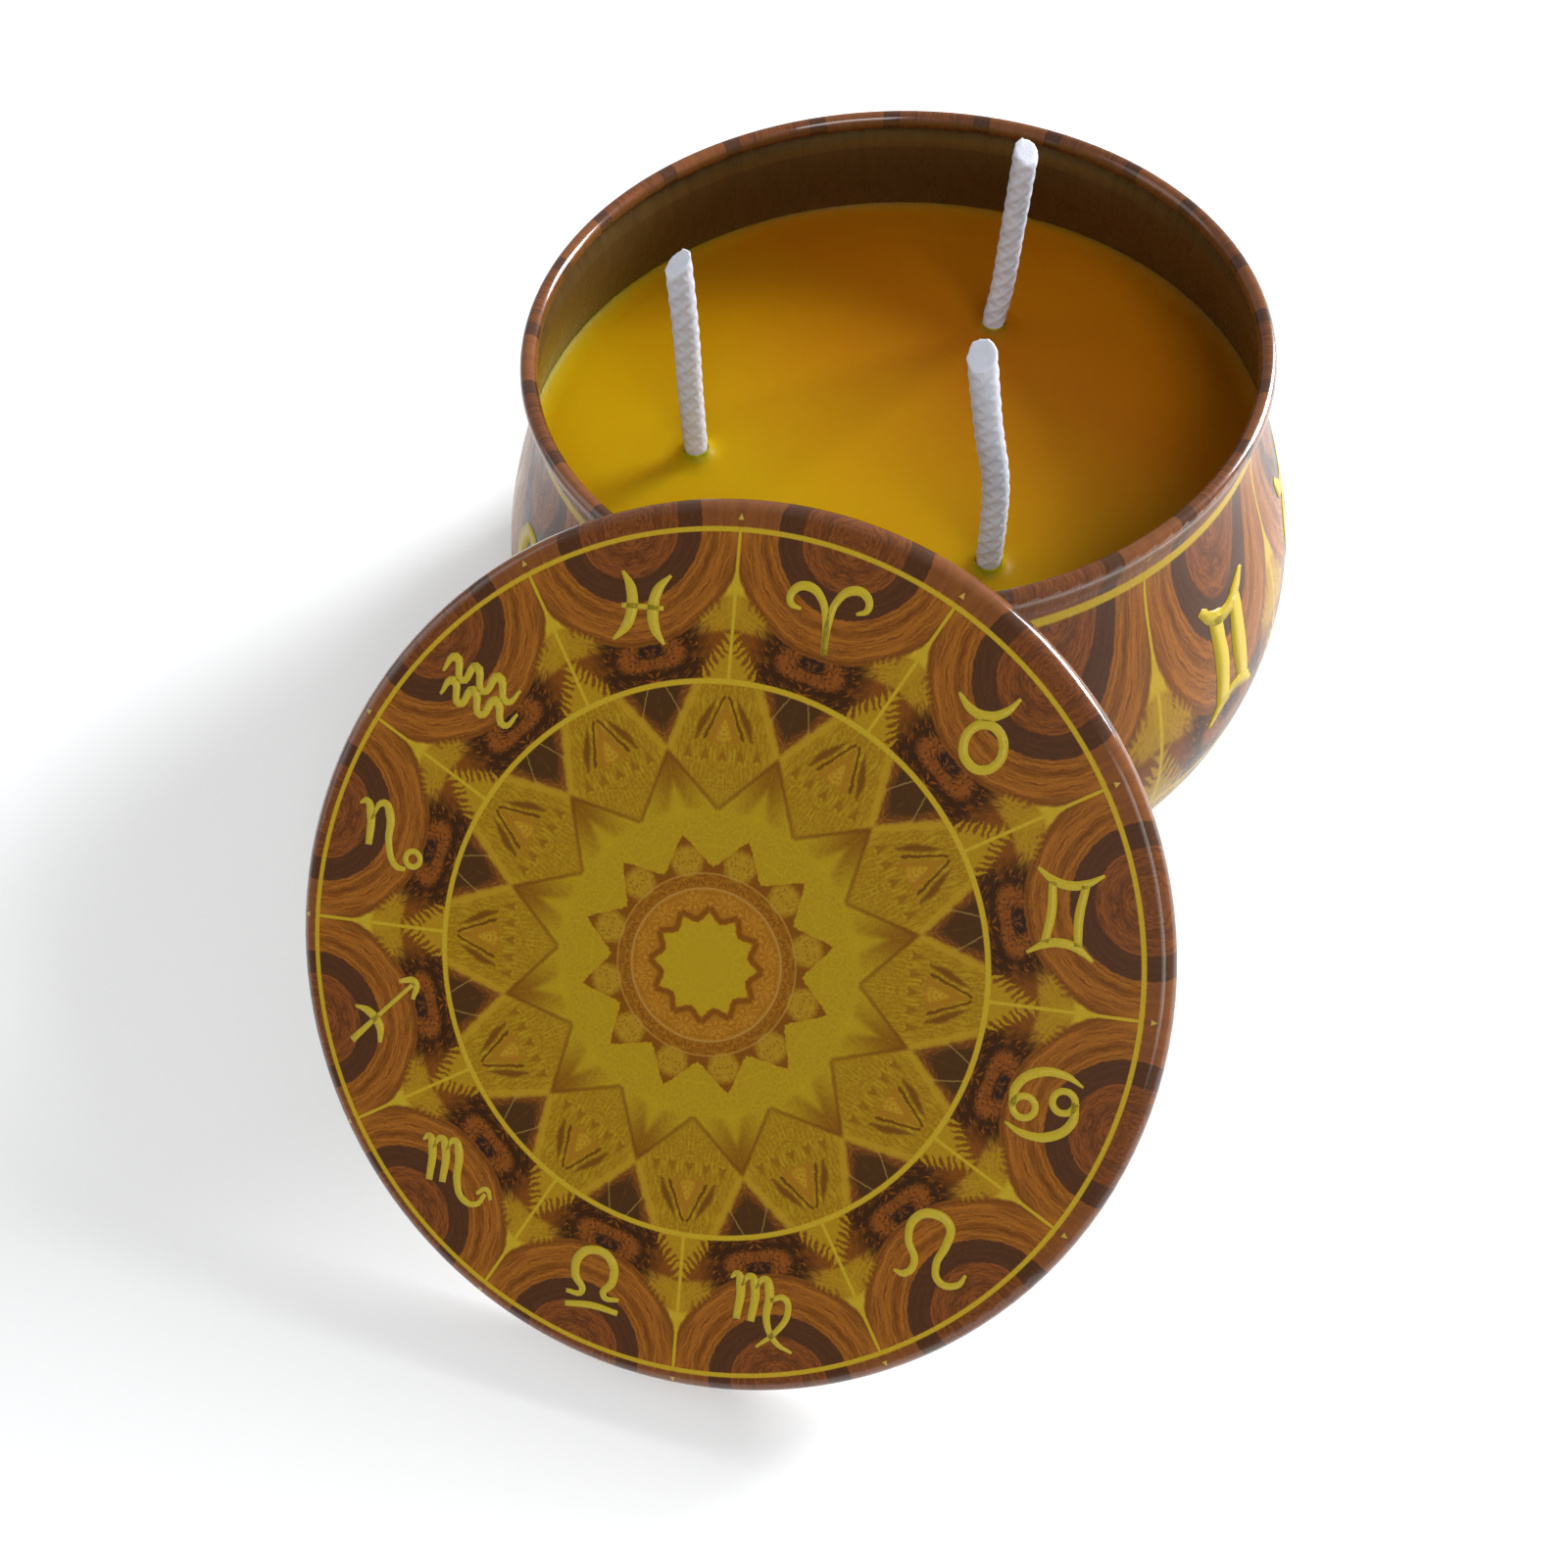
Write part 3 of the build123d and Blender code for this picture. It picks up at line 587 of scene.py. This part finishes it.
shown = add(tree, "Math", [shown, under], operation="MULTIPLY")
bare = add(tree, "Math", [add(tree, "MapRange", [up, 1.25, 1.45, 1.0, 0.0]), 0.9], operation="MULTIPLY")
drawn_lines = add(tree, "TexNoise", {
    "Vector": add(tree, "VectorMath", [local, (0.9, 0.9, 0.05)], operation="MULTIPLY"),
    "Scale": 1.0, "Detail": 4.0})
artwork = add(tree, "Group", {0: art_radius, 1: art_angle}, node_tree=rosette)
lacquer = add(tree, "Mix", {0: drawn_lines, 6: colour("5A4524"), 7: colour("6C5630")}, out=2,
              data_type="RGBA")
lacquer = add(tree, "Mix", {0: bare, 6: lacquer, 7: colour("A7A49A")}, out=2, data_type="RGBA")
peel = add(tree, "TexNoise", {"Vector": local, "Scale": 1.1, "Detail": 2.0})
close_finish(tree, {
    "Base Color": add(tree, "Mix", {0: shown, 6: lacquer, 7: artwork},
                      out=2, data_type="RGBA"),
    "Metallic": add(tree, "MapRange", [shown, 0.0, 1.0, 0.55, 0.0]),
    "Roughness": add(tree, "MapRange", [drawn_lines, 0.3, 0.7, 0.24, 0.34]),
    "Specular IOR Level": 0.12, "Coat Roughness": 0.08,
    "Coat Weight": add(tree, "MapRange", [up, BEAD_LOW - 0.1, BEAD_LOW + 0.1, 0.06, 0.7]),
    "Normal": add(tree, "Bump", {"Height": peel, "Strength": 0.06, "Distance": 0.00003})})
frame["nodes"]["tin_body"].material_slots[0].material = body_print

# The signs on the side, stretched with the sheet and laid against it.
SIGN_HEIGHT = 27.0
SIDE_SIGN_STRETCH = 2.5
SIDE_SIGN_WIDEN = 1.65
SIDE_SIGN_START = 52.0             # each is drawn this far out, clear of the belly, then pressed on
SIDE_SIGN_LIFT = 0.02
SIGN_BY_SPOKE = 3                  # which sign stands in the sector after the first spoke
side_signs = []
for k, strokes in enumerate(SIGNS):
    sign = inked_sign(strokes, nib, SIDE_SIGN_STRETCH, SIDE_PEN_WEIGHT)
    at = SIDE_SPOKE + pi / SPOKES + (SIGN_BY_SPOKE - k) * 2 * pi / SPOKES
    out = Vector((cos(at), sin(at), 0.0))
    upright = Matrix((Vector((-sin(at), cos(at), 0)), Vector((0, 0, 1)), out)).transposed().to_4x4()
    start = Matrix.Translation((out * SIDE_SIGN_START + Vector((0, 0, SIGN_HEIGHT))) * MM)
    sign.matrix_world = start @ upright @ Matrix.Diagonal((MM * SIDE_SIGN_WIDEN, MM, MM, 1))
    side_signs.append(one_piece([sign], "side_sign"))
    bpy.ops.object.mode_set(mode="EDIT")
    bpy.ops.mesh.select_all(action="SELECT")
    bpy.ops.mesh.subdivide(number_cuts=1)
    if sign.data.polygons[0].normal.dot(out) < 0:
        bpy.ops.mesh.flip_normals()
    bpy.ops.object.mode_set(mode="OBJECT")
    press = side_signs[-1].modifiers.new("press", "SHRINKWRAP")
    press.wrap_method = "NEAREST_SURFACEPOINT"
    press.wrap_mode = "ABOVE_SURFACE"
    press.target = frame["nodes"]["tin_body"]
    press.offset = SIDE_SIGN_LIFT * MM
    bpy.ops.object.modifier_apply(modifier=press.name)
side_signs = one_piece(side_signs, "side_signs")
thickened(side_signs, INK_FILM * MM)
side_signs.data.materials.append(screen_ink)
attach(side_signs, "tin")
bpy.data.objects.remove(nib)

# ---- wax -----------------------------------------------------------------------------------
# Soft golden container wax, poured hot in one go: it crept up the wall and the wicks as it set,
# so it meets them in a hollow curve. Light sinks a few millimetres into it before coming back.
wax, tree = new_finish("poured_container_wax")
place = add(tree, "TexCoord", out=3)
bloom = add(tree, "TexNoise", {"Vector": place, "Scale": 1 / (14 * MM), "Detail": 3.0})
# Graded from yellow at the front left to a deeper orange at the back right: partly painted shade,
# the back wall's shadow and light sinking through the wax; how much is the wax's own dye isn't known.
PAINTED_SHADE_OVER = 26.0                 # each way from the middle, along the line x + y
painted_shade_and_bloom = add(tree, "VectorMath", [place, (1.0, 1.0, 0.0)], out=1, operation="DOT_PRODUCT")
painted_shade_and_bloom = add(tree, "Math", [
    add(tree, "MapRange", [painted_shade_and_bloom, -PAINTED_SHADE_OVER * MM, PAINTED_SHADE_OVER * MM, -0.1, 0.9]),
    add(tree, "Math", [bloom, 0.2], operation="MULTIPLY")], operation="ADD", use_clamp=True)
pores = add(tree, "TexNoise", {"Vector": place, "Scale": 1 / (1.2 * MM), "Detail": 3.0})
# The base colour mixes yellow and orange by that grade, so it carries the painted shade and the bloom.
close_finish(tree, {
    "Base Color": add(tree, "Mix", {0: painted_shade_and_bloom, 6: colour("AC8606"), 7: colour("9C5A05")}, out=2,
                      data_type="RGBA"),
    "Subsurface Weight": 0.8, "Subsurface Radius": (1.0, 0.35, 0.04), "Subsurface Scale": 0.009,
    "Specular IOR Level": 0.05,
    "Roughness": add(tree, "MapRange", [pores, 0.3, 0.7, 0.36, 0.46]),
    "Normal": add(tree, "Bump", {"Height": bloom, "Strength": 0.12, "Distance": 0.0004})})
frame["nodes"]["wax_fill"].material_slots[0].material = wax

# ---- wicks ---------------------------------------------------------------------------------
# Flat-plaited cotton cord dipped in clear wax, which makes it stiff and rounds it off. Each is
# pulled through its tab, stands in the wax, and is cut off at a slant with scissors.
WICK_RADIUS = 1.45
STRAND_RADIUS = 0.40
CORE_UNDER = 0.07                   # how far the core lies under the strands' outside
DIP_GRAIN = 0.13                    # grain of the mesh that fuses the strands
STRAND_PITCH = 7.0
STRANDS = 4                         # strands winding each way round the core
FILL_HEIGHT, MOUND_TOP, TAB_BASE = 30.1, 31.2, 2.54
TIP_SLANT = radians(32.0)
WICKS = {
    "left": ((-23.1, -1.9), [(0.4, -0.1, 7.3), (1.2, 0.0, 17.0), (1.6, 0.2, 25.3)], 200.0),
    "front": ((8.8, -21.4), [(0.1, 0.0, 6.5), (-0.1, 0.1, 12.0), (-1.2, 0.2, 18.2),
                             (-2.6, 0.3, 28.0)], 245.0),
    "back": ((13.2, 17.4), [(0.6, -0.1, 5.0), (1.2, -0.2, 12.2), (2.0, -0.5, 23.3)], 300.0),
}

# Cotton under a skin of wax: soft white, a little see-through, with the plait showing through.
waxed_cotton, tree = new_finish("waxed_cotton_plait")
place = add(tree, "TexCoord", out=3)
fibre = add(tree, "TexNoise", {"Vector": add(tree, "VectorMath", [place, (1.0, 1.0, 0.25)],
                                             operation="MULTIPLY"),
                               "Scale": 1 / (0.25 * MM), "Detail": 3.0})
lump = add(tree, "TexNoise", {"Vector": place, "Scale": 1 / (2.0 * MM), "Detail": 2.0})
close_finish(tree, {
    "Base Color": add(tree, "Mix", {0: lump, 6: colour("AEB1BD"), 7: colour("CBCCD4")}, out=2,
                      data_type="RGBA"),
    "Subsurface Weight": 0.3, "Subsurface Radius": (1.0, 0.9, 0.8), "Subsurface Scale": 0.0008,
    "Roughness": 0.5, "IOR": 1.44,
    "Normal": add(tree, "Bump", {"Height": fibre, "Strength": 0.35, "Distance": 0.00008})})


def curve_points(points):
    """Close points along the smooth line through these, read back from a curve."""
    guide = bpy.data.curves.new("guide", "CURVE")
    guide.dimensions = "3D"
    guide.resolution_u = 24
    line = guide.splines.new("BEZIER")
    line.bezier_points.add(len(points) - 1)
    for knot, point in zip(line.bezier_points, points):
        knot.co = point
        knot.handle_left_type = knot.handle_right_type = "AUTO"
    holder = bpy.data.objects.new("guide", guide)
    bpy.context.scene.collection.objects.link(holder)
    bpy.context.view_layer.update()
    read = bpy.data.meshes.new_from_object(holder)
    found = [vertex.co.copy() for vertex in read.vertices]
    bpy.data.objects.remove(holder)
    return found


def round_bar(points, thick, name):
    """A round bar of this radius along these points, as a closed mesh."""
    bar = bpy.data.curves.new(name, "CURVE")
    bar.dimensions = "3D"
    bar.bevel_depth = thick
    bar.bevel_resolution = 2
    bar.use_fill_caps = True
    line = bar.splines.new("POLY")
    line.points.add(len(points) - 1)
    for knot, point in zip(line.points, points):
        knot.co = (*point, 1)
    piece = bpy.data.objects.new(name, bar)
    bpy.context.scene.collection.objects.link(piece)
    bpy.ops.object.select_all(action="DESELECT")
    piece.select_set(True)
    bpy.context.view_layer.objects.active = piece
    bpy.ops.object.convert(target="MESH")
    return bpy.context.active_object


for name, ((x, y), steps, faces) in WICKS.items():
    knots = [(x, y, TAB_BASE), (x, y, 16.0), (x, y, MOUND_TOP)]
    knots += [(x + dx, y + dy, FILL_HEIGHT + dz) for dx, dy, dz in steps]
    core = curve_points([Vector(knot) * MM for knot in knots])
    tip = core[-1].copy()
    bars = [round_bar(core, (WICK_RADIUS - CORE_UNDER) * MM, "core")]
    walked = [0.0]
    for before, after in zip(core, core[1:]):
        walked.append(walked[-1] + (after - before).length)
    for way in (1, -1):
        for k in range(STRANDS):
            wound = []
            for j, point in enumerate(core):
                ahead = (core[min(j + 1, len(core) - 1)] - core[max(j - 1, 0)]).normalized()
                side = ahead.cross(Vector((0, 1, 0))).normalized()
                other = ahead.cross(side)
                turn = way * 2 * pi * walked[j] / (STRAND_PITCH * MM) + 2 * pi * k / STRANDS
                out = (WICK_RADIUS - STRAND_RADIUS + 0.02 * way) * MM
                wound.append(point + side * out * cos(turn) + other * out * sin(turn))
            bars.append(round_bar(wound, STRAND_RADIUS * MM, "strand"))
    turn = radians(faces)
    facing = Vector((sin(TIP_SLANT) * cos(turn), sin(TIP_SLANT) * sin(turn), cos(TIP_SLANT)))
    for bar in bars:
        bpy.ops.object.select_all(action="DESELECT")
        bar.select_set(True)
        bpy.context.view_layer.objects.active = bar
        bpy.ops.object.mode_set(mode="EDIT")
        bpy.ops.mesh.select_all(action="SELECT")
        bpy.ops.mesh.bisect(plane_co=tip - Vector((0, 0, WICK_RADIUS * MM)), plane_no=facing,
                            use_fill=True, clear_outer=True)
        bpy.ops.mesh.select_all(action="SELECT")
        bpy.ops.mesh.normals_make_consistent(inside=False)
        bpy.ops.object.mode_set(mode="OBJECT")
    wick = one_piece(bars, f"cotton_wick_{name}")
    # The wax skin: strands and core fused into one bar, then softened.
    dip = wick.modifiers.new("dip", "REMESH")
    dip.mode = "VOXEL"
    dip.voxel_size = DIP_GRAIN * MM
    bpy.ops.object.modifier_apply(modifier=dip.name)
    soften = wick.modifiers.new("soften", "SMOOTH")
    soften.factor, soften.iterations = 0.5, 10
    bpy.ops.object.modifier_apply(modifier=soften.name)
    bpy.ops.object.shade_smooth()
    wick.data.materials.append(waxed_cotton)
    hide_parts(f"wick_{name}")
    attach(wick, "tin")

# ---- wick tabs and stickers ----------------------------------------------------------------
# Each wick is crimped in a pressed steel tab, and a disc of double-sided foam holds the tab to the
# tin while the wax is poured. Both are drowned in the wax and keep their CAD shapes.
tab_steel, tree = new_finish("tinned_pressed_steel")
place = add(tree, "TexCoord", out=3)
rolled = add(tree, "TexNoise", {"Vector": add(tree, "VectorMath", [place, (1.0, 0.08, 1.0)],
                                              operation="MULTIPLY"),
                                "Scale": 1 / (0.2 * MM), "Detail": 3.0})
close_finish(tree, {
    "Base Color": add(tree, "Mix", {0: rolled, 6: colour("B4B3AE"), 7: colour("D2D1CB")}, out=2,
                      data_type="RGBA"),
    "Metallic": 1.0, "Roughness": add(tree, "MapRange", [rolled, 0.3, 0.7, 0.28, 0.42]),
    "Normal": add(tree, "Bump", {"Height": rolled, "Strength": 0.15, "Distance": 0.00001})})
sticker_foam, tree = new_finish("white_adhesive_foam")
cells = add(tree, "TexVoronoi", {"Vector": add(tree, "TexCoord", out=3), "Scale": 1 / (0.3 * MM)})
close_finish(tree, {
    "Base Color": add(tree, "Mix", {0: cells, 6: colour("F1EFE6"), 7: colour("D9D5C8")}, out=2,
                      data_type="RGBA"),
    "Roughness": 0.9,
    "Normal": add(tree, "Bump", {"Height": cells, "Strength": 0.4, "Distance": 0.00008})})
for name in WICKS:
    frame["nodes"][f"wick_tab_{name}"].material_slots[0].material = tab_steel
    frame["nodes"][f"wick_sticker_{name}"].material_slots[0].material = sticker_foam
